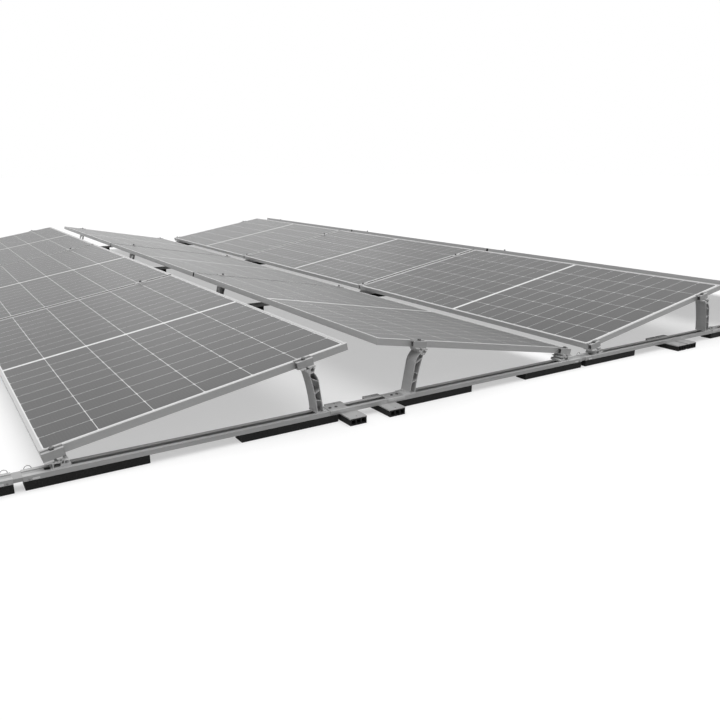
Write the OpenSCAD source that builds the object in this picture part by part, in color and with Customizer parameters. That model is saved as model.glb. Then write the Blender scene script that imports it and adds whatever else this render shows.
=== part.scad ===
// East-west ballasted flat-roof mount for solar modules. Tents of two module rows lean against a
// ridge gap. Rails on rubber mats run across the rows, low and high supports stand on the rails,
// and clamps hold the modules' short ends on the supports.
// X runs along the rails, Y along the module rows, Z up. Millimetres.

/* [Array] */
// Number of tents side by side
tents = 2; // [1:1:3]
// Modules one behind another in each row
modules_deep = 3; // [1:1:4]
// Tilt of the modules, degrees
tilt = 10; // [8:0.5:12]
// Gap between the two high edges of a tent
ridge_gap = 145; // [125:1:200]
// Gap between the low edges of neighbouring tents
valley_gap = 144; // [110:1:200]
// Gap between modules along a row
module_gap = 20; // [18:1:26]
// Height of the module's low edge over the rail
low_clear = 22.4; // [20:0.1:30]

/* [Module] */
// Width of a module, up the slope
module_w = 1134; // [1040:1:1200]
// Length of a module, along the row
module_l = 2094; // [1700:1:2300]
// Height of the module frame
frame_h = 28; // [26:0.5:35]
// Width of the frame's lip over the glass
lip_w = 11.5; // [9:0.5:14]
// Wall thickness of the frame profile
frame_wall = 1.6; // [1.4:0.1:2]
// Width of the frame's bottom flange
flange_w = 25; // [18:1:30]
// Thickness of the front glass
glass_t = 3.2; // [2.8:0.1:4]
// Thickness of the back sheet with its encapsulant
back_t = 1.2; // [0.8:0.1:2]
// Thickness of the cell layer
cell_t = 0.4; // [0.3:0.1:0.6]
// Cell columns across the module
cell_columns = 6; // [5:1:6]
// Margin between the outer cell columns and the module's long sides
side_margin = 22.5; // [12:0.5:30]
// Gap between two cell columns
column_gap = 3; // [2:0.5:5]
// Margin between the glass centre line's cells and the ends
end_margin = 27; // [20:1:40]
// Gap between the two halves of a module
half_gap = 20; // [10:1:30]
// Size of a junction box along the row
box_l = 88; // [60:1:120]
// Width of a junction box
box_w = 56; // [40:1:80]
// Height of a junction box
box_h = 15; // [12:0.5:18]

/* [Rail and mats] */
// Width of the rail
rail_w = 60; // [56:1:70]
// Height of the rail
rail_h = 17; // [15:0.5:24]
// Wall thickness of the rail
rail_wall = 2; // [1.6:0.1:3]
// Width of the slot in the rail's top
rail_slot = 26; // [22:1:30]
// Gap between two rail ends
rail_joint = 28; // [20:1:40]
// Length of the rail stub on the left
stub_len = 160; // [140:5:400]
// Height of the rubber mats
mat_h = 30; // [20:1:40]
// Length of the mats near the low edges
mat_low_len = 379; // [250:1:400]
// Length of the mats near the ridge
mat_high_len = 400; // [300:1:402]
// Gap between the mat near the ridge and the cross foot
mat_gap = 12; // [6:1:20]
// Length of the single mat under a ridge
mat_ridge_len = 366; // [300:1:400]
// Edge chamfer of the mats
mat_edge = 1.2; // [0.5:0.1:3]
// How far the front rail line's middle stands before the modules' ends
line_out = 13; // [10:1:20]

/* [Rail joint] */
// Length of the connector inside each rail
conn_in = 64; // [55:1:70]
// Play between connector and rail
conn_play = 0.3; // [0.2:0.1:0.5]
// Wall thickness of the connector
conn_wall = 2.6; // [2:0.1:4]
// Distance of the locking pin from the rail end
pin_x = 16.5; // [12:0.5:25]
// Radius of the locking pin
pin_r = 2; // [1.5:0.1:2.2]
// Radius of the pin's wire ring
ring_r = 12; // [8:0.5:14]
// Radius of the ring's wire
wire_r = 1; // [0.8:0.1:1.4]
// Distance of the locking tab from the rail end
tab_x = 36; // [30:1:45]
// Length of the locking tab
tab_l = 22; // [14:1:28]
// Height of the locking tab
tab_h = 6; // [4:0.5:8]
// Thickness of the locking tab
tab_t = 1.4; // [1:0.1:2]

/* [Supports] */
// Depth of the supports along the row
support_d = 62; // [50:1:80]
// How far the front support stands before the modules' ends
support_out = 33; // [28:0.5:36]
// Wall thickness of the high support
high_wall = 2.6; // [2:0.1:4]
// Wall thickness of the webs between its walls
web_t = 2; // [1.6:0.1:3]
// Width between its walls at the foot
high_foot = 26; // [22:1:34]
// How far its foot stands toward the ridge from under the head
high_lean = 39; // [30:1:46]
// Length of its foot plate
high_plate = 50; // [44:1:52]
// Step of its walls toward the low edge in the rows past the ridge, at the foot
twin_foot = 11; // [0:1:14]
// Further step of these walls at the head
twin_head = 8; // [6:0.5:10]
// Thickness of the foot plates
plate_t = 2.6; // [2:0.1:4]
// Wall thickness of the low support
low_wall = 2.2; // [1.8:0.1:3]

/* [Clamps] */
// Position of the low clamps from the low edge, up the slope
clamp_low = 34.6; // [34:0.1:60]
// Position of the high clamps from the high edge, down the slope
clamp_high_in = 199.2; // [180:0.1:240]
// Length of a clamp, up the slope
clamp_l = 68; // [50:1:68]
// Width of an end clamp's body before the module's end
clamp_w = 21.5; // [20:0.5:24]
// Play between an end clamp's body and the module's end
clamp_play = 0.5; // [0.3:0.1:1]
// Wall thickness of the clamps
clamp_wall = 2.5; // [2:0.1:3]
// Thickness of the clamps' lip
clamp_lip_t = 3.4; // [2.5:0.1:4]
// Reach of the lip over the module's frame
clamp_reach = 8; // [6:0.5:10]
// Rise of an end clamp's front block over the frame
clamp_rise = 0.6; // [0:0.1:2]
// Width of its front block
clamp_block = 9; // [7:0.5:11]
// Depth of the groove behind the block
clamp_dip = 2.6; // [1:0.1:5]
// Thickness of the washers under the hexagon heads
washer_t = 1.6; // [1:0.1:2]
// Bolt radius
bolt_r = 4; // [3:0.1:4.2]
// Radius of the hexagon heads over their corners
head_r = 7; // [6:0.1:7.5]
// Height of the hexagon heads
head_h = 8; // [4:0.1:9]
// Width of the nuts in their slots
nut_w = 15; // [12:0.5:15.5]
// Height of the nuts
nut_h = 6; // [4:0.5:7]

/* [Saddles and feet] */
// Gap between a saddle and the high support's foot plate
saddle_gap = 4.1; // [2:0.1:8]
// Length of a saddle along the rail
saddle_l = 82; // [50:1:84]
// Thickness of a saddle
saddle_t = 2.6; // [2:0.1:4]
// How far its skirts reach down the rail
saddle_skirt = 9; // [5:0.5:13]
// Play between saddle and rail
saddle_play = 0.3; // [0.2:0.1:0.6]
// Distance between its two bolts
saddle_pitch = 27; // [20:1:36]
// Radius of its bolts
saddle_bolt_r = 3; // [2.5:0.1:4]
// Start of the cross feet near the ridge, from the middle of the ridge gap
foot_in = 127.3; // [120:0.1:140]
// Width of a cross foot
foot_w = 72.6; // [60:0.1:74]
// Length of a cross foot across the rail
foot_l = 200; // [160:1:300]
// Start of the paired cross feet in the next tents, from the middle of the ridge gap
pair_in = 595.8; // [560:0.1:640]
// Gap between paired cross feet
pair_gap = 13; // [6:1:30]
// Thickness of a cross foot's tray plate
tray_t = 3; // [2:0.1:4]
// Height of the tray plate's side lips
tray_lip = 5; // [3:0.5:8]
// Wall thickness of the cross foot's black base
foot_wall = 5; // [4:0.5:8]

/* [Hidden] */
run = module_w * cos(tilt);
period = 2 * run + ridge_gap + valley_gap;
ridge_c = run + ridge_gap / 2;
rail_over = (valley_gap - rail_joint) / 2;
rail_len = period - rail_joint;
rail_z = mat_h;
rail_top = mat_h + rail_h;
low_x = frame_h * sin(tilt);
low_z = rail_top + low_clear;
total_y = modules_deep * module_l + (modules_deep - 1) * module_gap;
x_min = -rail_over - rail_joint - stub_len;
x_max = tents * period - rail_joint - rail_over;
mid_x = (x_min + x_max) / 2;
mid_y = total_y / 2;
lam_t = glass_t + cell_t + back_t;
lam_z = frame_h - frame_wall - lam_t;
glass_in = frame_wall + 0.3;
clamp_high = module_w - clamp_high_in;
high_x = low_x + clamp_high * cos(tilt);
plate_x = high_x + high_lean - 4;
saddle_x = plate_x + high_plate + saddle_gap;
foot_x = ridge_c - foot_in;
mat_high_x = foot_x - mat_gap - mat_high_len;
pair_x = ridge_c - pair_in;
low_cx = low_x + clamp_low * cos(tilt);
high_h = low_z + clamp_high * sin(tilt) - rail_top;
hole_r = bolt_r + 0.25;
slot_half = bolt_r + 0.5;
nut_half = nut_w / 2 + 0.3;
nut_room = nut_h + 0.4;
head_lip = 2.6;
lines = [for (j = [0 : modules_deep]) line_y(j)];

// Middle of rail line j.
function line_y(j) = j == 0 ? -line_out
    : j == modules_deep ? total_y + line_out
    : j * (module_l + module_gap) - module_gap / 2;

// Front face of the supports on line j.
function support_y(j) = j == 0 ? -support_out
    : j == modules_deep ? total_y + support_out - support_d
    : line_y(j) - support_d / 2;

// Height of the module's underside over the rail at x.
function under(x) = low_clear + (x - low_x) * tan(tilt);

// Moves a child from the array's own corner to the middle of its base.
module place() {
    translate([-mid_x, -mid_y, 0]) children();
}

// Repeats a child made for the first row in every row, mirrored for the row across the ridge.
module each_row(first = 0, last = tents - 1) {
    for (k = [first : last]) {
        translate([k * period, 0, 0]) children();
        translate([k * period + 2 * ridge_c, 0, 0]) mirror([1, 0, 0]) children();
    }
}

// Repeats a child on every rail line.
module each_line() {
    for (y = lines) translate([0, y, 0]) children();
}

// Repeats a child at every module of every row, in the module's own sloping frame.
module each_module() {
    each_row()
        for (j = [0 : modules_deep - 1])
            translate([low_x, j * (module_l + module_gap), low_z]) rotate([0, -tilt, 0]) children();
}

// Repeats a child made for the front end at both ends of every row, at both clamp positions.
module each_end() {
    each_row()
        for (u = [clamp_low, clamp_high]) {
            translate([low_x, 0, low_z]) rotate([0, -tilt, 0]) translate([u, 0, 0]) children();
            translate([low_x, total_y, low_z]) rotate([0, -tilt, 0]) translate([u, 0, 0])
                mirror([0, 1, 0]) children();
        }
}

// Repeats a child on every joint between two modules, at both clamp positions.
module each_joint() {
    if (modules_deep > 1) each_row()
        for (j = [1 : modules_deep - 1], u = [clamp_low, clamp_high])
            translate([low_x, line_y(j), low_z]) rotate([0, -tilt, 0]) translate([u, 0, 0]) children();
}

// Every place where two rails meet; x is the middle of the gap.
module each_rail_joint() {
    for (k = [0 : tents - 1])
        each_line() translate([k * period - rail_over - rail_joint / 2, 0, 0]) children();
}

// Flat bar between two points.
module bar(a, b, t) {
    d = b - a;
    n = [-d[1], d[0]] * (t / 2 / norm(d));
    polygon([a + n, b + n, b - n, a - n]);
}

// Flat band of even thickness along a row of points.
module band(p, t) {
    last = len(p) - 1;
    dir = [for (i = [0 : last]) p[min(i + 1, last)] - p[max(i - 1, 0)]];
    off = [for (i = [0 : last]) [-dir[i][1], dir[i][0]] * (t / 2 / norm(dir[i]))];
    polygon(concat([for (i = [0 : last]) p[i] + off[i]],
                   [for (i = [last : -1 : 0]) p[i] - off[i]]));
}

// Extrudes a shape drawn in X and Z along Y.
module along_y(d) {
    translate([0, d, 0]) rotate([90, 0, 0]) linear_extrude(d) children();
}

// Extrudes a shape drawn in Y and Z along X.
module along_x(d) {
    rotate([90, 0, 90]) linear_extrude(d) children();
}

// Cross-section of the rail, its middle at 0.
module rail_shape() {
    difference() {
        translate([-rail_w / 2, 0]) square([rail_w, rail_h]);
        translate([-rail_w / 2 + rail_wall, rail_wall])
            square([rail_w - 2 * rail_wall, rail_h - 2 * rail_wall]);
        translate([-rail_slot / 2, rail_h - 2 * rail_wall]) square([rail_slot, 3 * rail_wall]);
    }
}

// Height of the locking pin's axis over the rail's base.
pin_z = rail_wall + pin_r + 0.4;

// Cross holes for pin and tab at a rail end that looks toward -X when side is 1.
module end_holes(x, side) {
    translate([x + side * pin_x, -rail_w, pin_z])
        rotate([-90, 0, 0]) cylinder(r = pin_r + 0.1, h = 2 * rail_w, $fn = 32);
    translate([x + side * tab_x, -rail_w, rail_wall + tab_h / 2])
        rotate([-90, 0, 0]) cylinder(r = pin_r + 0.1, h = rail_w, $fn = 32);
}

module rail() {
    color("silver") place() each_line()
        for (k = [0 : tents - 1])
            translate([k * period - rail_over, 0, rail_z]) difference() {
                along_x(rail_len) rail_shape();
                end_holes(0, 1);
                if (k < tents - 1) end_holes(rail_len, -1);
            }
}

module rail_stub() {
    color("silver") place() each_line()
        translate([x_min, 0, rail_z]) difference() {
            along_x(stub_len) rail_shape();
            end_holes(stub_len, -1);
        }
}

// Connector: a channel open at the bottom that slides into both rails.
conn_w = rail_w - 2 * rail_wall - 2 * conn_play;
conn_h = rail_h - 2 * rail_wall - conn_play;
module connector() {
    color("lightgray") place() each_rail_joint()
        translate([-rail_joint / 2 - conn_in, 0, rail_z + rail_wall]) difference() {
            along_x(rail_joint + 2 * conn_in) difference() {
                translate([-conn_w / 2, 0]) square([conn_w, conn_h]);
                translate([-conn_w / 2 + conn_wall, -1])
                    square([conn_w - 2 * conn_wall, conn_h - conn_wall + 1]);
            }
            for (x = [conn_in - pin_x, conn_in + rail_joint + pin_x])
                translate([x, -rail_w, pin_z - rail_wall]) rotate([-90, 0, 0])
                    cylinder(r = pin_r + 0.1, h = 2 * rail_w, $fn = 32);
        }
}

// Locking pin: a round bar through rail and connector with a flat head before the near wall.
pin_back = 3;
module locking_pin() {
    color("gray") place() each_rail_joint()
        for (s = [-1, 1])
            translate([s * (rail_joint / 2 + pin_x), -rail_w / 2, rail_z + pin_z]) rotate([-90, 0, 0]) {
                translate([0, 0, -pin_r]) cylinder(r = 1.7 * pin_r, h = pin_r, $fn = 32);
                cylinder(r = pin_r, h = rail_w + pin_back, $fn = 32);
            }
}

module pin_ring() {
    color("gray") place() each_rail_joint()
        for (s = [-1, 1])
            translate([s * (rail_joint / 2 + pin_x), rail_w / 2 + pin_back + wire_r,
                       rail_z + pin_z + ring_r])
                rotate([90, 0, 0]) rotate_extrude($fn = 48) translate([ring_r, 0])
                    circle(r = wire_r, $fn = 16);
}

// Locking tab: a flat oblong on the near wall whose shank reaches the connector.
module locking_tab() {
    color("lightgray") place() each_rail_joint()
        for (s = [-1, 1])
            translate([s * (rail_joint / 2 + tab_x), -rail_w / 2, rail_z + rail_wall + tab_h / 2])
                rotate([90, 0, 0]) {
                    linear_extrude(tab_t) {
                        square([tab_l - tab_h, tab_h], center = true);
                        for (e = [-1, 1]) translate([e * (tab_l - tab_h) / 2, 0]) circle(d = tab_h, $fn = 32);
                    }
                    translate([0, 0, -rail_wall - conn_play]) cylinder(r = pin_r, h = rail_wall + conn_play, $fn = 32);
                }
}

// One rubber mat, chamfered along its upper and lower edges.
module one_mat(len) {
    w = rail_w / 2;
    along_x(len) polygon([
        [-w, mat_edge], [mat_edge - w, 0], [w - mat_edge, 0], [w, mat_edge],
        [w, mat_h - mat_edge], [w - mat_edge, mat_h], [mat_edge - w, mat_h], [-w, mat_h - mat_edge]
    ]);
}

mat_low_x = -rail_over + 2.5;
module mat() {
    color([0.13, 0.13, 0.13]) place() each_line() {
        translate([x_min, 0, 0]) one_mat(stub_len);
        each_row() translate([mat_low_x, 0, 0]) one_mat(mat_low_len);
        each_row(0, 0) translate([mat_high_x, 0, 0]) one_mat(mat_high_len);
    }
}

// From the second tent on, a single mat lies under the ridge.
module ridge_mat() {
    color([0.13, 0.13, 0.13]) place() each_line()
        for (k = [1 : max(1, tents - 1)])
            if (k < tents) translate([k * period + ridge_c - mat_ridge_len / 2, 0, 0])
                one_mat(mat_ridge_len);
}

// Low support, drawn in X and Z from the array's low edge and the rail's top.
module low_shape() {
    c = low_cx;
    left = c - nut_half - low_wall;
    right = c + nut_half + low_wall;
    floor_z = under(c) - head_lip - nut_room - low_wall;
    arm_x = c - clamp_l / 2 + 1.5;
    end_x = c + 44;
    difference() {
        union() {
            // arm under the clamp's outer half
            polygon([[arm_x, under(arm_x)], [arm_x, under(arm_x) - 4.5], [left + 1, under(left) - 8],
                     [left + 1, under(left)]]);
            // head with the slot for the bolt, and the chamber of its nut
            polygon([[left, under(left)], [left, floor_z], [right, floor_z], [right + 12, under(right) - 5],
                     [right + 12, under(right + 12)]]);
            // chamber on the rail between an upright and a sloping wall
            bar([left + low_wall / 2, 0], [left + low_wall / 2, floor_z + 1], low_wall);
            bar([left, floor_z - low_wall / 2 + 0.6], [right + 2, floor_z - low_wall / 2 + 0.6], low_wall);
            bar([c + 12.5, 0], [c + 15.5, floor_z - 1], low_wall);
            bar([c + 15.5, floor_z - 1.5], [c + 19, under(c + 19) - 8], low_wall);
            // screw boss beside the nut
            translate([c + 15, under(c + 15) - 6.3]) circle(r = 6, $fn = 48);
            // foot block with a hook toward the ridge
            polygon([[c + 13, 0], [end_x, 0], [end_x, 7], [end_x - 4, 11], [c + 28, 10], [c + 17, 12]]);
            bar([c + 25, 8], [c + 23.6, under(c + 23) - 11], low_wall);
            bar([c + 22.6, under(c + 23) - 11], [end_x - 6, under(c + 23) - 12], low_wall);
            translate([left - 6, 0]) square([end_x - left + 6, plate_t]);
        }
        translate([c + 15, under(c + 15) - 6.3]) circle(r = 2.6, $fn = 40);
        translate([c, under(c)]) rotate(tilt) {
            translate([-slot_half, -head_lip - 1]) square([2 * slot_half, head_lip + 2]);
            translate([-nut_half, -head_lip - nut_room]) square([2 * nut_half, nut_room]);
        }
        translate([-1, -50]) square([3 * end_x, 50]);
    }
}

module low_support() {
    color("gainsboro") place() each_row()
        for (j = [0 : modules_deep])
            translate([0, support_y(j), rail_top]) along_y(support_d) low_shape();
}

// High support: two curved walls with webs between them. Points are given as a share of its height.
// In the rows past the ridge (twin = 1) the head is turned round and the walls stand nearer the low edge.
function step(f, twin) = twin * (twin_foot + twin_head * f);
function high_left(f, twin) = [high_x + high_lean * (1 - 0.37 * f - 0.7 * f * f) - step(f, twin), f * high_h];
function high_right(f, twin) = [high_x + high_lean + high_foot - 0.72 * high_lean * f - step(f, twin)
    - (f > 0.68 ? 9.3 * high_lean * pow(f - 0.68, 2) : 0), f * high_h];
module high_shape(twin) {
    lo = [for (i = [0 : 10]) high_left(0.92 * i / 10, twin)];
    hi = [for (i = [0 : 14]) high_right(0.905 * i / 14, twin)];
    difference() {
        union() {
            band(lo, high_wall);
            band(hi, high_wall);
            bar(high_left(0.77, twin), high_right(0.675, twin), web_t);
            bar(high_left(0.42, twin), high_right(0.49, twin), web_t);
            bar(high_left(0.29, twin), high_right(0.245, twin), web_t);
            // fillets where the walls run into the foot plate
            bar(high_right(0.035, twin), high_right(0, twin) + [4, 0], web_t);
            bar(high_left(0.035, twin), high_left(0, twin) - [3, 0], web_t);
            translate([plate_x - step(0, twin), 0]) square([high_plate + step(0, twin), plate_t]);
            translate([high_x, high_h]) rotate(tilt) mirror([twin, 0]) high_head();
        }
        translate([-1, -50]) square([2 * high_x, 50]);
    }
}

// Head of the high support, drawn up the slope and square to it from the bolt's axis.
module high_head() {
    difference() {
        polygon([
            [-26, 0], [-26, -2.6], [-nut_half - 2.4, -5], [-nut_half - 1.4, -nut_room - 5], [-1, -19],
            [4, -27], [23, -27], [27, -18], [32, -11], [34, -3], [34, 0]
        ]);
        translate([-slot_half, -head_lip - 1]) square([2 * slot_half, head_lip + 2]);
        translate([-nut_half, -head_lip - nut_room]) square([2 * nut_half, nut_room]);
        translate([18, -14]) circle(r = 7.5, $fn = 48);
        translate([20, -6]) rotate(-22) square([20, 3.4]);
    }
}

module high_support() {
    color("gainsboro") place()
        for (k = [0 : tents - 1], j = [0 : modules_deep]) {
            translate([k * period, support_y(j), rail_top]) along_y(support_d) high_shape(0);
            translate([k * period + 2 * ridge_c, support_y(j), rail_top]) mirror([1, 0, 0])
                along_y(support_d) high_shape(1);
        }
}

// End clamp before the module's end face at y = 0: hollow body, front block, groove, lip on the frame.
clamp_front = -clamp_play - clamp_w;
bolt_y = -clamp_play - head_r - clamp_wall - 0.2;
clamp_top = frame_h + clamp_lip_t;
block_top = frame_h + clamp_rise;
groove_z = block_top - clamp_dip;
module end_clamp_shape() {
    difference() {
        polygon([
            [clamp_front, 0], [-clamp_play, 0], [-clamp_play, frame_h], [clamp_reach, frame_h],
            [clamp_reach, clamp_top - 0.8], [clamp_reach - 0.8, clamp_top],
            [-clamp_play - clamp_wall, clamp_top], [-clamp_play - clamp_wall, groove_z],
            [clamp_front + clamp_block, groove_z], [clamp_front + clamp_block, block_top],
            [clamp_front + 1.2, block_top], [clamp_front, block_top - 1.2]
        ]);
        translate([clamp_front + clamp_wall, clamp_wall])
            square([clamp_w - 2 * clamp_wall, groove_z - 2 * clamp_wall]);
    }
}

// The bolt's hole, and a round seat for its head cut into the front block.
module end_clamp() {
    color("silver") place() each_end() difference() {
        translate([-clamp_l / 2, 0, 0]) along_x(clamp_l) end_clamp_shape();
        translate([0, bolt_y, -1]) cylinder(r = hole_r, h = clamp_top + 2, $fn = 40);
        translate([0, bolt_y, groove_z]) cylinder(r = head_r + 0.1, h = clamp_top, $fn = 48);
    }
}

// Bolt with a washer and a hexagon head, its neck down to the nut.
module clamp_bolt(top) {
    translate([0, 0, top]) cylinder(r = head_r, h = washer_t, $fn = 48);
    translate([0, 0, top + washer_t]) cylinder(r = head_r, h = head_h, $fn = 6);
    translate([0, 0, -head_lip - nut_h - 0.2]) cylinder(r = bolt_r, h = top + head_lip + nut_h + 0.2, $fn = 40);
}

module end_clamp_bolt() {
    color([0.35, 0.35, 0.36]) place() each_end() translate([0, bolt_y, 0]) clamp_bolt(groove_z);
}

// Mid clamp in the gap between two modules: hollow body with a lip on either frame.
module mid_clamp_shape() {
    w = module_gap / 2 - clamp_play;
    difference() {
        polygon([
            [-w, 0], [w, 0], [w, frame_h], [w + clamp_reach, frame_h], [w + clamp_reach, clamp_top - 0.8],
            [w + clamp_reach - 0.8, clamp_top], [-w - clamp_reach + 0.8, clamp_top],
            [-w - clamp_reach, clamp_top - 0.8], [-w - clamp_reach, frame_h], [-w, frame_h]
        ]);
        translate([-w + clamp_wall, clamp_wall]) square([2 * (w - clamp_wall), frame_h - 2 * clamp_wall + 1]);
    }
}

module mid_clamp() {
    color("silver") place() each_joint() difference() {
        translate([-clamp_l / 2, 0, 0]) along_x(clamp_l) mid_clamp_shape();
        translate([0, 0, -1]) cylinder(r = hole_r, h = clamp_top + 2, $fn = 40);
    }
}

module mid_clamp_bolt() {
    color([0.35, 0.35, 0.36]) place() each_joint() clamp_bolt(clamp_top);
}

// Slot nut in the support's head under a clamp bolt.
module one_nut() {
    translate([0, 0, -head_lip - nut_h]) difference() {
        translate([-nut_w / 2, -nut_w / 2, 0]) cube([nut_w, nut_w, nut_h]);
        translate([0, 0, -1]) cylinder(r = bolt_r, h = nut_h + 2, $fn = 40);
    }
}

module clamp_nut() {
    color("gray") place() {
        each_end() translate([0, bolt_y, 0]) one_nut();
        each_joint() one_nut();
    }
}

// Saddle: a cap over the rail beside each high support, held by two bolts in the rail's slot.
saddle_bolts = [saddle_x + 16, saddle_x + 16 + saddle_pitch];
module saddle_shape() {
    w = rail_w / 2 + saddle_play + saddle_t;
    polygon([
        [-w, rail_h - saddle_skirt], [-w, rail_h + saddle_t - 1], [1 - w, rail_h + saddle_t],
        [w - 1, rail_h + saddle_t], [w, rail_h + saddle_t - 1], [w, rail_h - saddle_skirt],
        [w - saddle_t, rail_h - saddle_skirt], [w - saddle_t, rail_h],
        [saddle_t - w, rail_h], [saddle_t - w, rail_h - saddle_skirt]
    ]);
}

module saddle() {
    color("gainsboro") place() each_line() each_row() difference() {
        translate([saddle_x, 0, rail_z]) along_x(saddle_l) saddle_shape();
        for (x = saddle_bolts)
            translate([x, 0, rail_top - 1]) cylinder(r = saddle_bolt_r + 0.2, h = saddle_t + 2, $fn = 32);
    }
}

saddle_nut_t = 4;
module saddle_bolt() {
    color([0.35, 0.35, 0.36]) place() each_line() each_row()
        for (x = saddle_bolts) translate([x, 0, rail_top + saddle_t]) {
            difference() {
                cylinder(r = 2 * saddle_bolt_r, h = saddle_bolt_r, $fn = 40);
                translate([0, 0, 1]) cylinder(r = saddle_bolt_r, h = saddle_bolt_r, $fn = 6);
            }
            translate([0, 0, -saddle_t - rail_wall - saddle_nut_t])
                cylinder(r = saddle_bolt_r, h = saddle_t + rail_wall + saddle_nut_t + 0.5, $fn = 32);
        }
}

module saddle_nut() {
    color("gray") place() each_line() each_row()
        for (x = saddle_bolts) translate([x, 0, rail_top - rail_wall - saddle_nut_t]) difference() {
            translate([-9, -rail_slot / 2 - 7, 0]) cube([18, rail_slot + 14, saddle_nut_t]);
            translate([0, 0, -1]) cylinder(r = saddle_bolt_r, h = saddle_nut_t + 2, $fn = 32);
        }
}

// Starts of the cross feet: one beside the first ridge, pairs further out in the next tents.
module each_foot() {
    each_line() {
        each_row(0, 0) translate([foot_x, 0, 0]) children();
        if (tents > 1) each_row(1, tents - 1)
            for (x = [pair_x, pair_x + foot_w + pair_gap]) translate([x, 0, 0]) children();
    }
}

// Black base of a cross foot: a block with three chambers that run its whole length.
base_h = mat_h - tray_t;
module foot_base() {
    cell = (foot_w - 4 * foot_wall) / 3;
    color([0.13, 0.13, 0.13]) place() each_foot()
        translate([0, -foot_l / 2, 0]) along_y(foot_l) difference() {
            square([foot_w, base_h]);
            for (i = [0 : 2]) translate([foot_wall + i * (cell + foot_wall), foot_wall])
                square([cell, base_h - 2 * foot_wall]);
        }
}

// Tray plate on the base: side lips grip the base's long edges and leave the rail's crossing free.
module foot_tray() {
    color("silver") place() each_foot() difference() {
        union() {
            translate([0, -foot_l / 2, base_h]) cube([foot_w, foot_l, tray_t]);
            for (x = [-tray_t / 2, foot_w]) translate([x, -foot_l / 2, mat_h - tray_lip])
                cube([tray_t / 2, foot_l, tray_lip]);
        }
        for (s = [-1, 1]) translate([foot_w / 2, s * (foot_l / 2 - 16), base_h - 1]) {
            cylinder(r = 3.5, h = tray_t + 2, $fn = 32);
        }
    }
}

// Cross-section of the module frame, u into the module, n up.
module frame_shape() {
    difference() {
        polygon([
            [0, 0], [flange_w, 0], [flange_w, frame_wall], [6 * frame_wall, frame_wall],
            [6 * frame_wall, lam_z - frame_wall], [lip_w, lam_z - frame_wall], [lip_w, lam_z],
            [frame_wall, lam_z], [frame_wall, frame_h - frame_wall], [lip_w, frame_h - frame_wall],
            [lip_w, frame_h], [0, frame_h]
        ]);
        translate([frame_wall, frame_wall]) square([4 * frame_wall, lam_z - 2 * frame_wall]);
    }
}

// A frame bar of the given length with both ends cut at 45 degrees.
module frame_bar(len) {
    intersection() {
        translate([0, len, 0]) rotate([90, 0, 0]) linear_extrude(len) frame_shape();
        translate([0, 0, -1]) linear_extrude(frame_h + 2)
            polygon([[0, 0], [flange_w + 1, flange_w + 1], [flange_w + 1, len - flange_w - 1], [0, len]]);
    }
}

module frame_long() {
    color("whitesmoke") place() each_module() {
        frame_bar(module_l);
        translate([module_w, 0, 0]) mirror([1, 0, 0]) frame_bar(module_l);
    }
}

module frame_short() {
    color("whitesmoke") place() each_module() {
        mirror([1, -1, 0]) frame_bar(module_w);
        translate([0, module_l, 0]) mirror([0, 1, 0]) mirror([1, -1, 0]) frame_bar(module_w);
    }
}

// A sheet as large as the frame's pocket, z up from the pocket's floor.
module sheet(z, t) {
    translate([glass_in, glass_in, lam_z + z])
        cube([module_w - 2 * glass_in, module_l - 2 * glass_in, t]);
}

module glass() {
    color([0.8, 0.85, 0.9, 0.35]) place() each_module() sheet(back_t + cell_t, glass_t);
}

module cell_strings() {
    pitch = (module_w - 2 * side_margin + column_gap) / cell_columns;
    half_l = (module_l - 2 * end_margin - half_gap) / 2;
    color([0.25, 0.26, 0.3]) place() each_module()
        for (i = [0 : cell_columns - 1], y = [end_margin, module_l - end_margin - half_l])
            translate([side_margin + i * pitch, y, lam_z + back_t])
                cube([pitch - column_gap, half_l, cell_t]);
}

module back_sheet() {
    color("white") place() each_module() sheet(0, back_t);
}

// Junction boxes on the back of the module's middle line.
module junction_box() {
    color([0.1, 0.1, 0.1]) place() each_module()
        for (f = [1 / 6, 1 / 2, 5 / 6])
            translate([f * module_w - box_w / 2, (module_l - box_l) / 2, lam_z - box_h])
                along_y(box_l) polygon([
                    [3, 0], [box_w - 3, 0], [box_w, 5], [box_w, box_h], [0, box_h], [0, 5]
                ]);
}

rail();
rail_stub();
connector();
locking_pin();
pin_ring();
locking_tab();
mat();
ridge_mat();
low_support();
high_support();
end_clamp();
end_clamp_bolt();
mid_clamp();
mid_clamp_bolt();
clamp_nut();
saddle();
saddle_bolt();
saddle_nut();
foot_base();
foot_tray();
frame_long();
frame_short();
glass();
cell_strings();
back_sheet();
junction_box();
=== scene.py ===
import math
import random

import bmesh
import bpy
from mathutils import Matrix, Vector


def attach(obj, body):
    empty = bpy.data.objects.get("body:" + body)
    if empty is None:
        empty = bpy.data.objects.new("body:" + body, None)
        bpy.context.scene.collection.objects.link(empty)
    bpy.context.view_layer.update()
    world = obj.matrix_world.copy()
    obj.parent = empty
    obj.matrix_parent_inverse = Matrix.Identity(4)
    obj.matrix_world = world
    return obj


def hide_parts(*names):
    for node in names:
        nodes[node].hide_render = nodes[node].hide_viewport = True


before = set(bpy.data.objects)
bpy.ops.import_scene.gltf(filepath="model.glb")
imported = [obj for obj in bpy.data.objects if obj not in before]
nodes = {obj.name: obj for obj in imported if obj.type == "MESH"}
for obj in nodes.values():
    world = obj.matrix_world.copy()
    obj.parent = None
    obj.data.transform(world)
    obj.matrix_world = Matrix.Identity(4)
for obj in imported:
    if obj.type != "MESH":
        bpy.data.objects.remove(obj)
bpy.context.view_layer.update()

# Sizes of the array in metres, the same as in the part's source
TILT = math.radians(10)
MODULE_W, MODULE_L, FRAME_H = 1.134, 2.094, 0.028
MODULE_GAP = 0.020
TENTS, MODULES_DEEP = 2, 3
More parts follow.
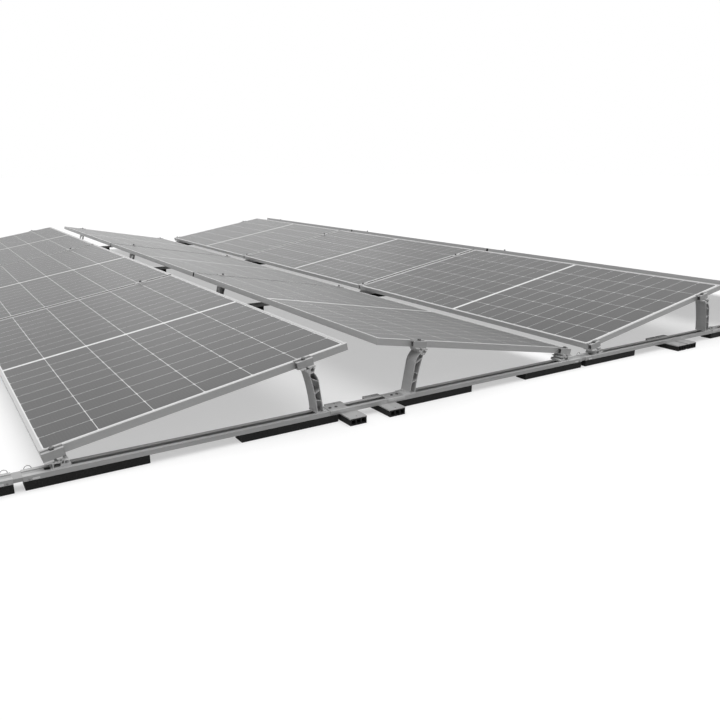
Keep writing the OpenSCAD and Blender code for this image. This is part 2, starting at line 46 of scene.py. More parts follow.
RIDGE_GAP, VALLEY_GAP = 0.145, 0.144
LOW_CLEAR = 0.0224
MAT_H, RAIL_H, RAIL_W = 0.030, 0.017, 0.060
RAIL_JOINT, STUB_LEN = 0.028, 0.160
LINE_OUT = 0.013
# Locking pins: in from the rail's end, up from its underside and out of its far side
PIN_X, PIN_Z, PIN_OUT = 0.0165, 0.0044, 0.0030
# Clamps and their bolts
CLAMP_LOW, CLAMP_HIGH_IN = 0.0346, 0.1992
CLAMP_PLAY, CLAMP_WALL, CLAMP_LIP_T = 0.0005, 0.0025, 0.0034
CLAMP_RISE, CLAMP_DIP = 0.0006, 0.0026
BOLT_CLEAR = 0.0002
BOLT_R, HEAD_R, HEAD_H = 0.0040, 0.0070, 0.0080
WASHER_T = 0.0016
PLATE_T, NUT_H = 0.0026, 0.0060

# Places that follow from these sizes
RUN = MODULE_W * math.cos(TILT)
PERIOD = 2 * RUN + RIDGE_GAP + VALLEY_GAP
RIDGE_X = RUN + RIDGE_GAP / 2
RAIL_OVER = (VALLEY_GAP - RAIL_JOINT) / 2
X_MIN = -RAIL_OVER - RAIL_JOINT - STUB_LEN
X_MAX = TENTS * PERIOD - RAIL_JOINT - RAIL_OVER
MODULE_STEP = MODULE_L + MODULE_GAP
ROW_END = MODULES_DEEP * MODULE_L + (MODULES_DEEP - 1) * MODULE_GAP
MID_X, MID_Y = (X_MIN + X_MAX) / 2, ROW_END / 2
LOW_X = FRAME_H * math.sin(TILT)
LOW_Z = MAT_H + RAIL_H + LOW_CLEAR
JOINT_LINES = [k * MODULE_STEP - MODULE_GAP / 2 for k in range(1, MODULES_DEEP)]
RAIL_LINES = [-LINE_OUT] + JOINT_LINES + [ROW_END + LINE_OUT]
CLAMP_PLACES = (CLAMP_LOW, MODULE_W - CLAMP_HIGH_IN)
CLAMP_TOP = FRAME_H + CLAMP_LIP_T
GROOVE_TOP = FRAME_H + CLAMP_RISE - CLAMP_DIP
END_BOLT_Y = -CLAMP_PLAY - HEAD_R - CLAMP_WALL - BOLT_CLEAR


# Shader nodes

def new_material(name):
    material = bpy.data.materials.new(name)
    material.use_nodes = True
    tree = material.node_tree
    tree.nodes.clear()
    out = tree.nodes.new("ShaderNodeOutputMaterial")
    shader = tree.nodes.new("ShaderNodeBsdfPrincipled")
    tree.links.new(shader.outputs[0], out.inputs[0])
    return material, tree, shader


def coords(tree, scale=(1, 1, 1)):
    """Object coordinates, in metres at scale 1."""
    source = tree.nodes.new("ShaderNodeTexCoord")
    mapping = tree.nodes.new("ShaderNodeMapping")
    mapping.inputs["Scale"].default_value = scale
    tree.links.new(source.outputs["Object"], mapping.inputs["Vector"])
    return mapping.outputs[0]


def noise(tree, where, scale, detail=4.0, rough=0.5, distort=0.0):
    node = tree.nodes.new("ShaderNodeTexNoise")
    node.inputs["Scale"].default_value = scale
    node.inputs["Detail"].default_value = detail
    node.inputs["Roughness"].default_value = rough
    node.inputs["Distortion"].default_value = distort
    tree.links.new(where, node.inputs["Vector"])
    return node.outputs["Fac"]


def cells_noise(tree, scale):
    """Voronoi cells, for crumbs and embossed film."""
    node = tree.nodes.new("ShaderNodeTexVoronoi")
    node.inputs["Scale"].default_value = scale
    tree.links.new(coords(tree), node.inputs["Vector"])
    return node


def ramp(tree, value, stops):
    """Colour ramp; a stop is its position with a grey or a colour."""
    node = tree.nodes.new("ShaderNodeValToRGB")
    elements = node.color_ramp.elements
    for i, (position, colour) in enumerate(stops):
        stop = elements[i] if i < 2 else elements.new(position)
        stop.position = position
        grey = isinstance(colour, (int, float))
        stop.color = (colour, colour, colour, 1) if grey else (*colour, 1)
    tree.links.new(value, node.inputs[0])
    return node.outputs[0]


def span(tree, value, low, high):
    """Stretches the middle of a noise over the values from low to high."""
    return ramp(tree, value, [(0.3, low), (0.7, high)])


def calc(tree, operation, a, b=None, clamp=False):
    node = tree.nodes.new("ShaderNodeMath")
    node.operation = operation
    node.use_clamp = clamp
    for i, value in enumerate((a, b)):
        if value is None:
            continue
        if isinstance(value, (int, float)):
            node.inputs[i].default_value = value
        else:
            tree.links.new(value, node.inputs[i])
    return node.outputs[0]


def mix(tree, factor, a, b, mode="MIX"):
    node = tree.nodes.new("ShaderNodeMix")
    node.data_type = "RGBA"
    node.blend_type = mode
    for socket, value in ((0, factor), (6, a), (7, b)):
        if isinstance(value, (int, float)):
            node.inputs[socket].default_value = value if socket == 0 else (value, value, value, 1)
        elif isinstance(value, tuple):
            node.inputs[socket].default_value = (*value, 1)
        else:
            tree.links.new(value, node.inputs[socket])
    return node.outputs[2]


def multiply(tree, a, b):
    return mix(tree, 1.0, a, b, "MULTIPLY")


def bump(tree, shader, height, strength, distance, under=None):
    node = tree.nodes.new("ShaderNodeBump")
    node.inputs["Strength"].default_value = strength
    node.inputs["Distance"].default_value = distance
    tree.links.new(height, node.inputs["Height"])
    if under is not None:
        tree.links.new(under, node.inputs["Normal"])
    tree.links.new(node.outputs[0], shader.inputs["Normal"])
    return node.outputs[0]


def split(tree, vector):
    """The X, Y and Z of a vector."""
    node = tree.nodes.new("ShaderNodeSeparateXYZ")
    tree.links.new(vector, node.inputs[0])
    return node.outputs


def surface_normal(tree):
    return tree.nodes.new("ShaderNodeNewGeometry").outputs["Normal"]


def edge_mask(tree, radius, gain=5.0):
    """1 at sharp edges, 0 on flat faces."""
    bevel = tree.nodes.new("ShaderNodeBevel")
    bevel.samples = 4
    bevel.inputs["Radius"].default_value = radius
    dot = tree.nodes.new("ShaderNodeVectorMath")
    dot.operation = "DOT_PRODUCT"
    tree.links.new(bevel.outputs[0], dot.inputs[0])
    tree.links.new(surface_normal(tree), dot.inputs[1])
    turned = calc(tree, "SUBTRACT", 1.0, dot.outputs["Value"])
    return calc(tree, "MULTIPLY", turned, gain, clamp=True)


# Materials

# Radius of the brighter edges, worn metal with a painted highlight, and depth of the extrusion lines
EDGE_WEAR_AND_HIGHLIGHT, LINE_DEPTH = 0.0012, 0.00004


def along(axis, fine, coarse):
    """Scale of a noise that is drawn out along one axis."""
    scale = [fine, fine, fine]
    scale[axis] = coarse
    return scale


def metal(name, colour, rough, metallic, axis, streak, cloud, edge, grain=420.0):
    """Extruded or rolled metal: fine lines along one axis, soft clouds, brighter edges that are partly worn
    metal and partly a painted highlight.
    """
    material, tree, shader = new_material(name)
    lines = noise(tree, coords(tree, along(axis, grain, grain * 0.02)), 1.0, 3.0, 0.55)
    bands = noise(tree, coords(tree, along(axis, 60.0, 1.2)), 1.0, 2.0, 0.5)
    clouds = noise(tree, coords(tree), 5.0, 5.0, 0.6, 0.3)
    dark, light = colour * (1 - streak), colour * (1 + streak)
    tone = mix(tree, 0.5, span(tree, lines, dark, light), span(tree, bands, dark, light))
    tone = multiply(tree, tone, span(tree, clouds, 1 - cloud, 1.0))
    # Edges lighter in colour: partly worn metal, partly a painted highlight
    tone = mix(tree, edge_mask(tree, EDGE_WEAR_AND_HIGHLIGHT), tone, min(1.0, colour * (1 + edge)))
    tree.links.new(tone, shader.inputs["Base Color"])
    polish = span(tree, mix(tree, 0.5, lines, clouds), rough - 0.06, rough + 0.07)
    tree.links.new(polish, shader.inputs["Roughness"])
    shader.inputs["Metallic"].default_value = metallic
    bump(tree, shader, lines, 0.35, LINE_DEPTH)
    return material


def paint_joint_shade(material, unshaded_from, joint_shade_tone):
    """Paints shade into the colour of the faces in the narrow joints between modules, where shade falls; the
    end bars, from the given distance out, keep their own colour.
    """
    tree = material.node_tree
    shader = next(node for node in tree.nodes if node.type == "BSDF_PRINCIPLED")
    facing = calc(tree, "ABSOLUTE", split(tree, surface_normal(tree))["Y"])
    place = calc(tree, "ABSOLUTE", split(tree, coords(tree))["Y"])
    side = calc(tree, "GREATER_THAN", facing, 0.7)
    inner = calc(tree, "LESS_THAN", place, unshaded_from)
    unshaded_tone = shader.inputs["Base Color"].links[0].from_socket
    # Painted shade: the faces inside the joints take the darker tone
    shaded_tone = mix(tree, calc(tree, "MULTIPLY", side, inner), unshaded_tone, joint_shade_tone)
    tree.links.new(shaded_tone, shader.inputs["Base Color"])
    return material


def make_rubber():
    """Pressed rubber granulate: dark crumbs of slightly different grey, pits between them."""
    material, tree, shader = new_material("rubber_granulate")
    crumbs = cells_noise(tree, 380.0)
    tone = ramp(tree, crumbs.outputs["Color"], [(0.0, 0.0075), (0.72, 0.016), (0.94, 0.03), (1.0, 0.06)])
    patches = span(tree, noise(tree, coords(tree), 9.0), 0.8, 1.15)
    tree.links.new(multiply(tree, tone, patches), shader.inputs["Base Color"])
    polish = span(tree, noise(tree, coords(tree), 240.0, 2.0), 0.78, 0.97)
    tree.links.new(polish, shader.inputs["Roughness"])
    shader.inputs["Specular IOR Level"].default_value = 0.3
    pits = ramp(tree, crumbs.outputs["Distance"], [(0.0, 1.0), (0.65, 0.0)])
    pitted = bump(tree, shader, pits, 0.6, 0.0009)
    bump(tree, shader, noise(tree, coords(tree), 90.0, 3.0), 0.4, 0.0012, pitted)
    return material


def make_plastic(name, colour, rough, grain, strength):
    """Moulded black rubber or plastic with a fine grain."""
    material, tree, shader = new_material(name)
    skin = noise(tree, coords(tree), grain, 3.0, 0.6)
    tone = span(tree, noise(tree, coords(tree), 14.0), colour * 0.8, colour * 1.25)
    tree.links.new(tone, shader.inputs["Base Color"])
    tree.links.new(span(tree, skin, rough - 0.08, rough + 0.1), shader.inputs["Roughness"])
    shader.inputs["Specular IOR Level"].default_value = 0.3
    bump(tree, shader, skin, strength, 0.0003)
    return material


def glass_finish(tree, shader, rough):
    """Front glass over a layer: a clear coat with a faint rolled texture and a film of dust."""
    dust = noise(tree, coords(tree), 3.1, 6.0, 0.62, 0.5)
    tree.links.new(ramp(tree, dust, [(0.3, rough), (0.75, rough + 0.12)]), shader.inputs["Roughness"])
    shader.inputs["Specular IOR Level"].default_value = 0.0
    shader.inputs["Coat Weight"].default_value = 0.96
    shader.inputs["Coat Roughness"].default_value = 0.32
    shader.inputs["Coat IOR"].default_value = 1.5
    bump(tree, shader, noise(tree, coords(tree), 700.0, 2.0), 0.05, 0.00003)


def uv_values(tree, name):
    node = tree.nodes.new("ShaderNodeUVMap")
    node.uv_map = name
    return split(tree, node.outputs[0])


def make_cell():
    """Solar cell behind glass: dark, with fingers, busbars and a slight shift of tone from cell to cell."""
    busbars, busbar_half = 16.0, 0.014
    fingers, finger_share = 48.0, 0.10
    material, tree, shader = new_material("cell_under_glass")
    across, lengthwise, _ = uv_values(tree, "cell")
    tone = ramp(tree, uv_values(tree, "shift")[0], [(0.0, 0.034), (1.0, 0.042)])
    tone = multiply(tree, tone, span(tree, noise(tree, coords(tree), 2.2, 3.0, 0.5, 0.4), 0.88, 1.1))
    tone = multiply(tree, tone, span(tree, noise(tree, coords(tree), 900.0, 2.0), 0.94, 1.06))
    # Busbar wires run along the module; their half width is a share of their pitch
    bar = calc(tree, "FRACT", calc(tree, "MULTIPLY", across, busbars))
    bar = calc(tree, "ABSOLUTE", calc(tree, "SUBTRACT", bar, 0.5))
    tone = mix(tree, calc(tree, "LESS_THAN", bar, busbar_half), tone, (0.13, 0.13, 0.133))
    # Fingers cross the busbars
    finger = calc(tree, "FRACT", calc(tree, "MULTIPLY", lengthwise, fingers))
    finger = calc(tree, "LESS_THAN", finger, finger_share)
    tone = mix(tree, calc(tree, "MULTIPLY", finger, 0.25), tone, (0.05, 0.05, 0.052))
    tree.links.new(tone, shader.inputs["Base Color"])
    glass_finish(tree, shader, 0.32)
    return material


def make_white_under_glass():
    """The white sheet that shows through the glass between and around the cells."""
    material, tree, shader = new_material("white_under_glass")
    tone = span(tree, noise(tree, coords(tree), 40.0), 0.70, 0.76)
    tree.links.new(tone, shader.inputs["Base Color"])
    glass_finish(tree, shader, 0.4)
    return material


def make_back_sheet():
    """White film with a fine embossing, on the modules' undersides."""
    material, tree, shader = new_material("back_sheet_film")
    tone = span(tree, noise(tree, coords(tree), 6.0, 5.0, 0.6), 0.66, 0.74)
    tree.links.new(tone, shader.inputs["Base Color"])
    polish = span(tree, noise(tree, coords(tree), 60.0, 3.0), 0.42, 0.58)
    tree.links.new(polish, shader.inputs["Roughness"])
    bump(tree, shader, cells_noise(tree, 120.0).outputs["Distance"], 0.15, 0.0002)
    return material


def make_glass_edge():
    """Ground edge of the glass, slightly green."""
    material, tree, shader = new_material("glass_edge")
    grinding = noise(tree, coords(tree), 300.0, 3.0)
    tone = span(tree, grinding, (0.28, 0.34, 0.32), (0.38, 0.44, 0.42))
    tree.links.new(tone, shader.inputs["Base Color"])
    tree.links.new(span(tree, grinding, 0.2, 0.45), shader.inputs["Roughness"])
    bump(tree, shader, grinding, 0.3, 0.0001)
    return material


def make_short_frame():
    """The modules' short bars, with painted shade on their faces in the joints between the modules; the bars
    at the rows' ends have none.
    """
    end_zone = 0.061
    bars = metal("frame_anodised_short", 0.57, 0.40, 0.08, 0, streak=0.03, cloud=0.05, edge=0.25, grain=600.0)
    # Painted shade on the faces in the joints between modules
    return paint_joint_shade(bars, ROW_END / 2 - end_zone, joint_shade_tone=0.02)


# Metals: name, colour, roughness, how metallic, and the axis that their lines follow
MATERIALS = {
    "rail": metal("rail_aluminium", 0.49, 0.42, 0.15, 0, streak=0.08, cloud=0.10, edge=0.35),
    "bright": metal("insert_aluminium", 0.36, 0.40, 0.20, 0, streak=0.06, cloud=0.08, edge=0.20),
    "tab": metal("bare_aluminium", 0.78, 0.32, 0.15, 0, streak=0.05, cloud=0.05, edge=0.20),
    "support": metal("support_aluminium", 0.62, 0.45, 0.15, 1, streak=0.07, cloud=0.10, edge=0.45),
    "clamp": metal("clamp_aluminium", 0.43, 0.46, 0.15, 0, streak=0.07, cloud=0.08, edge=0.08),
    "tray": metal("tray_aluminium", 0.52, 0.40, 0.35, 1, streak=0.06, cloud=0.10, edge=0.30),
    "frame_long": metal("frame_anodised_long", 0.55, 0.40, 0.12, 1, streak=0.03, cloud=0.05, edge=0.25,
                        grain=600.0),
    "frame_short": make_short_frame(),
    "steel": metal("stainless_steel", 0.24, 0.34, 0.60, 2, streak=0.10, cloud=0.10, edge=0.35),
    "bolt": metal("dark_bolt_steel", 0.13, 0.45, 0.35, 2, streak=0.15, cloud=0.20, edge=0.50),
    "rubber": make_rubber(),
    "foot_black": make_plastic("black_foot_rubber", 0.012, 0.75, 320.0, 0.5),
    "box_black": make_plastic("junction_box_plastic", 0.016, 0.45, 500.0, 0.3),
    "cell": make_cell(),
    "white": make_white_under_glass(),
    "back": make_back_sheet(),
    "edge": make_glass_edge(),
}

NODES_OF_MATERIAL = {
    "rail": ("rail", "rail_stub"),
    "bright": ("connector",),
    "tab": ("locking_tab",),
    "steel": ("locking_pin", "pin_ring", "clamp_nut", "saddle_nut"),
    "rubber": ("mat", "ridge_mat"),
    "support": ("low_support", "high_support"),
    "clamp": ("end_clamp", "mid_clamp"),
    "bolt": ("end_clamp_bolt", "mid_clamp_bolt", "saddle_bolt"),
    "tray": ("saddle", "foot_tray"),
    "foot_black": ("foot_base",),
    "frame_long": ("frame_long",),
    "frame_short": ("frame_short",),
    "box_black": ("junction_box",),
}


def dress_nodes():
    for key, names in NODES_OF_MATERIAL.items():
        for name in names:
            slots = nodes[name].data.materials
            slots.clear()
            slots.append(MATERIALS[key])


dress_nodes()


# Places on the array

def rows():
    """For every module row: its offset and direction along X."""
    for k in range(TENTS):
        yield k * PERIOD, 1
        yield k * PERIOD + 2 * RIDGE_X, -1


def slope_matrix(x0, side, y, u=0.0):
    """Frame of a row: u up the slope, Y along the row, n square to the module."""
    centred = Matrix.Translation((-MID_X, -MID_Y, 0)) @ Matrix.Translation((x0, 0, 0))
    low_edge = centred @ Matrix.Diagonal((side, 1, 1, 1)) @ Matrix.Translation((LOW_X, y, LOW_Z))
    return low_edge @ Matrix.Rotation(-TILT, 4, "Y") @ Matrix.Translation((u, 0, 0))


def piece(name, bm, materials, smooth=False):
    """Turns a bmesh into a piece that rides on the root."""
    mesh = bpy.data.meshes.new(name)
    bm.normal_update()
    bm.to_mesh(mesh)
    bm.free()
    for polygon in mesh.polygons:
        polygon.use_smooth = smooth
    for material in materials:
        mesh.materials.append(material)
    made = bpy.data.objects.new(name, mesh)
    bpy.context.scene.collection.objects.link(made)
    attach(made, "root")
    return made


# Laminates: cells, the white between them, glass edge and back sheet

# The grid of cells: its offset, pitch and gap up the slope (u) and along the row (v)
COLUMNS, HALF_ROWS = 6, 10
FIRST_COLUMN, PITCH_U, GAP_U = 0.0032, 0.184, 0.0021
FIRST_ROW, PITCH_V, GAP_V = 0.0273, 0.0996, 0.0018
MARGIN_U, MARGIN_V = 0.0165, 0.0223
HALF_GAP = 0.022
WHITE_BORDER = 0.001
CELL_CHAMFER = 0.0042
GLASS_IN = 0.0019
BACK_N, TOP_N = 0.0216, 0.0264
CELL, WHITE, BACK, EDGE = range(4)


def laminate_mesh():
    """One module's laminate in its own frame: u up the slope, v along the row, n up."""
    draw = random.Random(4)
    bm = bmesh.new()
    cell_uv = bm.loops.layers.uv.new("cell")
    shift_uv = bm.loops.layers.uv.new("shift")

    def face(corners, material, n=TOP_N, shift=0.5, box=None):
        """Flat face at height n; the cell pattern is laid over the box."""
        made = bm.faces.new([bm.verts.new((u, v, n)) for u, v in corners])
        made.material_index = material
        for loop in made.loops:
            if box:
                u0, v0, u1, v1 = box
                place = loop.vert.co
                loop[cell_uv].uv = ((place.x - u0) / (u1 - u0), (place.y - v0) / (v1 - v0))
            loop[shift_uv].uv = (shift, 0.5)

    def rectangle(u0, v0, u1, v1):
        return [(u0, v0), (u1, v0), (u1, v1), (u0, v1)]

    def tile(cell, border):
        """A cell with cut corners and the white border around it, each box as u0, v0, u1, v1."""
        a0, b0, a1, b1 = cell
        u0, v0, u1, v1 = border
        c = CELL_CHAMFER
        inner = [(a0 + c, b0), (a1 - c, b0), (a1, b0 + c), (a1, b1 - c),
                 (a1 - c, b1), (a0 + c, b1), (a0, b1 - c), (a0, b0 + c)]
        outer = [(a0 + c, v0), (a1 - c, v0), (u1, b0 + c), (u1, b1 - c),
                 (a1 - c, v1), (a0 + c, v1), (u0, b1 - c), (u0, b0 + c)]
        corner = {1: (u1, v0), 3: (u1, v1), 5: (u0, v1), 7: (u0, v0)}
        face(inner, CELL, shift=draw.random(), box=cell)
        for i in range(8):
            j = (i + 1) % 8
            between = [corner[i]] if i in corner else []
            face([inner[i], outer[i], *between, outer[j], inner[j]], WHITE)

    edges_u = [MARGIN_U] + [FIRST_COLUMN + i * PITCH_U for i in range(1, COLUMNS)] + [MODULE_W - MARGIN_U]
    joints = [FIRST_ROW + r * PITCH_V for r in range(1, HALF_ROWS)]
    near = [MARGIN_V] + joints + [(MODULE_L - HALF_GAP) / 2]
    far = [MODULE_L - v for v in reversed(near)]
    for edges_v in (near, far):
        for i, (u0, u1) in enumerate(zip(edges_u, edges_u[1:])):
            low, high = i == 0, i == COLUMNS - 1
            for r, (v0, v1) in enumerate(zip(edges_v, edges_v[1:])):
                first, last = r == 0, r == HALF_ROWS - 1
                cell = (u0 if low else u0 + GAP_U / 2, v0 if first else v0 + GAP_V / 2,
                        u1 if high else u1 - GAP_U / 2, v1 if last else v1 - GAP_V / 2)
                border = (u0 - WHITE_BORDER if low else u0, v0 - WHITE_BORDER if first else v0,
                          u1 + WHITE_BORDER if high else u1, v1 + WHITE_BORDER if last else v1)
                tile(cell, border)

    # White around the two halves, and between them
    u_in, u_out = GLASS_IN, MODULE_W - GLASS_IN
    v_in, v_out = GLASS_IN, MODULE_L - GLASS_IN
    u_low, u_high = MARGIN_U - WHITE_BORDER, MODULE_W - MARGIN_U + WHITE_BORDER
    face(rectangle(u_in, v_in, u_low, v_out), WHITE)
    face(rectangle(u_high, v_in, u_out, v_out), WHITE)
    face(rectangle(u_low, v_in, u_high, near[0] - WHITE_BORDER), WHITE)
    face(rectangle(u_low, near[-1] + WHITE_BORDER, u_high, far[0] - WHITE_BORDER), WHITE)
    face(rectangle(u_low, far[-1] + WHITE_BORDER, u_high, v_out), WHITE)

    # Back sheet, which faces down, and the edge all round
    corners = rectangle(u_in, v_in, u_out, v_out)
    face(list(reversed(corners)), BACK, BACK_N)
    for a, b in zip(corners, corners[1:] + corners[:1]):
        wall = ((*a, BACK_N), (*b, BACK_N), (*b, TOP_N), (*a, TOP_N))
        bm.faces.new([bm.verts.new(p) for p in wall]).material_index = EDGE
    return bm


def build_laminates():
    one = laminate_mesh()
    source = bpy.data.meshes.new("one_laminate")
    one.to_mesh(source)
    one.free()
    bm = bmesh.new()
    for x0, side in rows():
        for j in range(MODULES_DEEP):
            place = slope_matrix(x0, side, j * MODULE_STEP)
            first_vert, first_face = len(bm.verts), len(bm.faces)
            bm.from_mesh(source)
            bm.verts.ensure_lookup_table()
            bm.faces.ensure_lookup_table()
            for vert in bm.verts[first_vert:]:
                vert.co = place @ vert.co
            if side < 0:
                bmesh.ops.reverse_faces(bm, faces=bm.faces[first_face:])
    layers = [MATERIALS[key] for key in ("cell", "white", "back", "edge")]
    laminates = piece("module_laminates", bm, layers)
    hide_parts("glass", "cell_strings", "back_sheet")


build_laminates()


# Bolts of the clamps

def close_tube(bm, rings):
    """Joins rings of vertices to a closed tube."""
    for a, b in zip(rings, rings[1:]):
        sides = len(a)
        for i in range(sides):
            bm.faces.new((a[i], a[(i + 1) % sides], b[(i + 1) % sides], b[i]))
    bm.faces.new(list(reversed(rings[0])))
    bm.faces.new(rings[-1])


def lathe(bm, place, profile, sides):
    """Turns (radius, height) points about the local axis n."""
    turns = [2 * math.pi * i / sides for i in range(sides)]
    rings = [[bm.verts.new(place @ Vector((r * math.cos(a), r * math.sin(a), h))) for a in turns]
             for r, h in profile]
    close_tube(bm, rings)


def thread_profile(low, high):
    """Tip, turns of thread and a plain end under the washer."""
    pitch, tip_r, root_r, end_r = 0.00125, 0.0031, 0.0035, 0.0038
    profile = [(tip_r, low)]
    z = low
    while z < high - 0.0012:
        profile += [(root_r, z + 0.0002), (BOLT_R, z + 0.0008)]
        z += pitch
    return profile + [(end_r, high + 0.0004)]


def hex_bolt(bm, place, seat, low, neck=0.0):
    """Washer, chamfered hexagon head with a dished top, threaded shank; a neck lifts a wider, flat head."""
    neck_r, wide_r, flat_h = 0.0064, 0.0083, 0.0052
    washer_top, rounding = seat + WASHER_T, 0.0002
    lathe(bm, place, [(HEAD_R * 0.95, seat), (HEAD_R, seat + rounding),
                      (HEAD_R, washer_top - rounding), (HEAD_R * 0.95, washer_top)], 32)
    foot, radius, height = washer_top, HEAD_R, HEAD_H
    if neck:
        lathe(bm, place, [(neck_r, washer_top), (neck_r, washer_top + neck)], 24)
        foot, radius, height = washer_top + neck, wide_r, flat_h
    top = foot + height
    lathe(bm, place, [(radius * 0.97, foot), (radius, foot + 0.0005),
                      (radius, top - 0.0009), (radius * 0.86, top - 0.0001)], 6)
    lathe(bm, place, [(radius * 0.80, top - 0.0006), (radius * 0.80, top),
                      (radius * 0.62, top), (radius * 0.58, top - 0.0003)], 32)
    lathe(bm, place, thread_profile(low, seat), 14)


def build_bolts():
    """End clamp bolts stand in the clamps' groove, mid clamp bolts on top; both reach through the nuts."""
    low = -(PLATE_T + NUT_H)
    over_lips = 0.0001
    neck = CLAMP_TOP + over_lips - GROOVE_TOP - WASHER_T
    end_bolts, mid_bolts = bmesh.new(), bmesh.new()
    for x0, side in rows():
        for u in CLAMP_PLACES:
            for y, outward in ((0.0, 1), (ROW_END, -1)):
                place = slope_matrix(x0, side, y, u) @ Matrix.Translation((0, outward * END_BOLT_Y, 0))
                hex_bolt(end_bolts, place, GROOVE_TOP, low, neck)
            for y in JOINT_LINES:
                hex_bolt(mid_bolts, slope_matrix(x0, side, y, u), CLAMP_TOP, low)
    for bm, name, node in ((end_bolts, "end_clamp_bolts", "end_clamp_bolt"),
                           (mid_bolts, "mid_clamp_bolts", "mid_clamp_bolt")):
        bmesh.ops.recalc_face_normals(bm, faces=bm.faces[:])
        bolts = piece(name, bm, [MATERIALS["bolt"]])
        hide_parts(node)


build_bolts()


# Wire rings of the locking pins

RING_R, WIRE_R = 0.0108, 0.0010
RING_TURNS, RING_STEPS, RING_RISE = 1.75, 70, 0.0017
LEAN_RIGHT, LEAN_LEFT = math.radians(25), math.radians(-8)


def tube(bm, points, radius, sides):
    """Round wire along a row of points that lie nearly in an XZ plane."""
    rings = []
    for i, point in enumerate(points):
        ahead, behind = points[min(i + 1, len(points) - 1)], points[max(i - 1, 0)]
        direction = (ahead - behind).normalized()
        a = direction.cross(Vector((0, 1, 0))).normalized()
        b = direction.cross(a)
        turns = [2 * math.pi * k / sides for k in range(sides)]
        rings.append([bm.verts.new(point + radius * (math.cos(t) * a + math.sin(t) * b)) for t in turns])
    close_tube(bm, rings)


def ring_points(centre, lean):
    """Nearly two turns side by side, which start at the ring's foot."""
    points = []
    for i in range(RING_STEPS + 1):
        share = i / RING_STEPS
        turn = 2 * math.pi * RING_TURNS * share - math.pi / 2 - lean
        round_the_eye = Vector((RING_R * math.cos(turn), (share - 0.5) * RING_RISE, RING_R * math.sin(turn)))
        points.append(centre + round_the_eye)
    return points


def build_rings():
    """A split ring stands on each locking pin, left and right of every rail joint."""
    bm = bmesh.new()
    for k in range(TENTS):
        joint_x = k * PERIOD - RAIL_OVER - RAIL_JOINT / 2
        for line in RAIL_LINES:
            for side, lean in ((-1, LEAN_LEFT), (1, LEAN_RIGHT)):
                pin_x = joint_x + side * (RAIL_JOINT / 2 + PIN_X)
                centre = Vector((pin_x + RING_R * math.sin(lean) - MID_X,
                                 line + RAIL_W / 2 + PIN_OUT + WIRE_R - MID_Y,
                                 MAT_H + PIN_Z + RING_R * math.cos(lean)))
                tube(bm, ring_points(centre, lean), WIRE_R, 8)
    bmesh.ops.recalc_face_normals(bm, faces=bm.faces[:])
    rings = piece("split_rings", bm, [MATERIALS["steel"]], smooth=True)
    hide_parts("pin_ring")


build_rings()


def round_edges():
    """Small rounded edges on the extrusions and mouldings."""
    radii = {"rail": 0.0004, "rail_stub": 0.0004, "end_clamp": 0.0004, "mid_clamp": 0.0004,
             "low_support": 0.0003, "foot_base": 0.0008, "junction_box": 0.0012}
    for name, radius in radii.items():
        modifier = nodes[name].modifiers.new("edge", "BEVEL")
        modifier.width = radius
        modifier.segments = 2
        modifier.limit_method = "ANGLE"
        modifier.angle_limit = math.radians(40)


round_edges()


# Floor, light and camera

def on_view(tree):
    """1 for rays that show a surface directly, in a mirror or through glass."""
    path = tree.nodes.new("ShaderNodeLightPath")
    seen = calc(tree, "MAXIMUM", path.outputs["Is Camera Ray"], path.outputs["Is Glossy Ray"])
    return calc(tree, "MAXIMUM", seen, path.outputs["Is Transmission Ray"])


def make_floor():
    """Plain pale floor that keeps the shadows; it throws less light back than it shows."""
    thrown_back, shown, glow = 0.14, 0.53, 0.49
    material = bpy.data.materials.new("floor_pale")
    material.use_nodes = True
    tree = material.node_tree
    tree.nodes.clear()
    out = tree.nodes.new("ShaderNodeOutputMaterial")
    diffuse = tree.nodes.new("ShaderNodeBsdfDiffuse")
    emission = tree.nodes.new("ShaderNodeEmission")
    both = tree.nodes.new("ShaderNodeAddShader")
    tree.links.new(mix(tree, on_view(tree), thrown_back, shown), diffuse.inputs[0])
    tree.links.new(calc(tree, "MULTIPLY", on_view(tree), glow), emission.inputs["Strength"])
    tree.links.new(diffuse.outputs[0], both.inputs[0])
    tree.links.new(emission.outputs[0], both.inputs[1])
    tree.links.new(both.outputs[0], out.inputs[0])
    return material


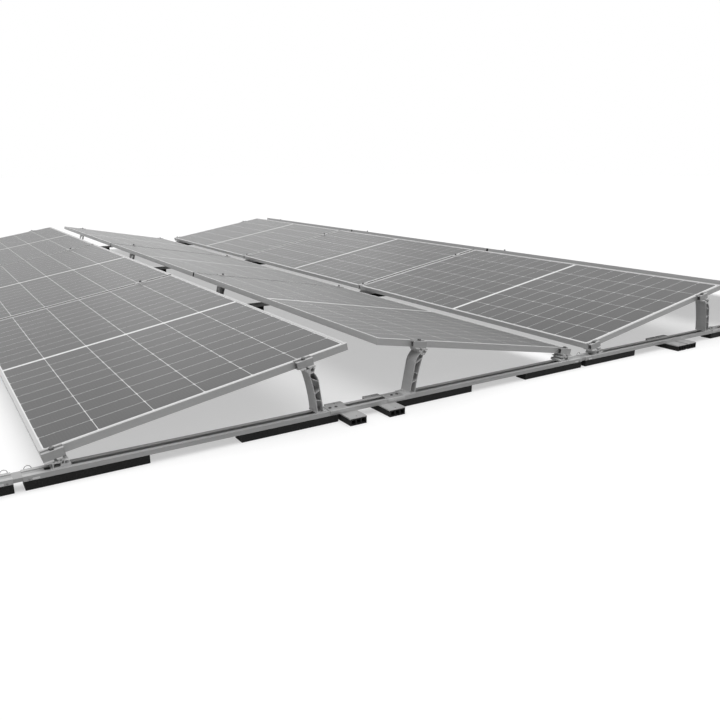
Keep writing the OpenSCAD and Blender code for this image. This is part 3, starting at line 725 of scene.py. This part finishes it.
def build_floor():
    half_size, just_below = 60, 0.0002
    bm = bmesh.new()
    bmesh.ops.create_grid(bm, x_segments=2, y_segments=2, size=half_size)
    mesh = bpy.data.meshes.new("floor")
    bm.to_mesh(mesh)
    bm.free()
    mesh.materials.append(make_floor())
    floor = bpy.data.objects.new("floor", mesh)
    floor.location = (0, 0, -just_below)
    bpy.context.scene.collection.objects.link(floor)


def build_world():
    """White where it is seen, dimmer as a light."""
    dim = 0.30
    world = bpy.data.worlds.new("soft_studio")
    bpy.context.scene.world = world
    world.use_nodes = True
    tree = world.node_tree
    tree.nodes.clear()
    out = tree.nodes.new("ShaderNodeOutputWorld")
    background = tree.nodes.new("ShaderNodeBackground")
    background.inputs[0].default_value = (1, 1, 1, 1)
    strength = calc(tree, "ADD", calc(tree, "MULTIPLY", on_view(tree), 1.0 - dim), dim)
    tree.links.new(strength, background.inputs[1])
    tree.links.new(background.outputs[0], out.inputs[0])


def build_overhead():
    """A very wide, soft light from straight above."""
    light = bpy.data.lights.new("overhead", "SUN")
    light.energy = 2.3
    light.angle = math.radians(85)
    bpy.context.scene.collection.objects.link(bpy.data.objects.new("overhead", light))


def build_softbox():
    """A large pale box behind the array, for the sheen on the glass; it points at the middle of the array."""
    place = Vector((9.65, 27.25, 8.02))
    light = bpy.data.lights.new("back_softbox", "AREA")
    light.shape = "RECTANGLE"
    light.size, light.size_y = 15.0, 9.7
    light.energy = 150.0
    softbox = bpy.data.objects.new("back_softbox", light)
    softbox.location = place
    softbox.rotation_euler = place.to_track_quat("Z", "Y").to_euler()
    softbox.visible_camera = False
    bpy.context.scene.collection.objects.link(softbox)


def build_camera():
    """The photograph's camera, solved from the corners of the modules and rails."""
    lens = bpy.data.cameras.new("camera")
    lens.lens = 34.80
    lens.sensor_width = 36
    lens.clip_start = 0.05
    lens.clip_end = 200
    camera = bpy.data.objects.new("camera", lens)
    camera.location = (-2.6012, -5.3731, 0.9490)
    camera.rotation_euler = (math.radians(74.4475), 0, math.radians(-32.7195))
    bpy.context.scene.collection.objects.link(camera)
    bpy.context.scene.camera = camera


build_floor()
build_world()
build_overhead()
build_softbox()
build_camera()
bpy.context.scene.view_settings.view_transform = "Standard"
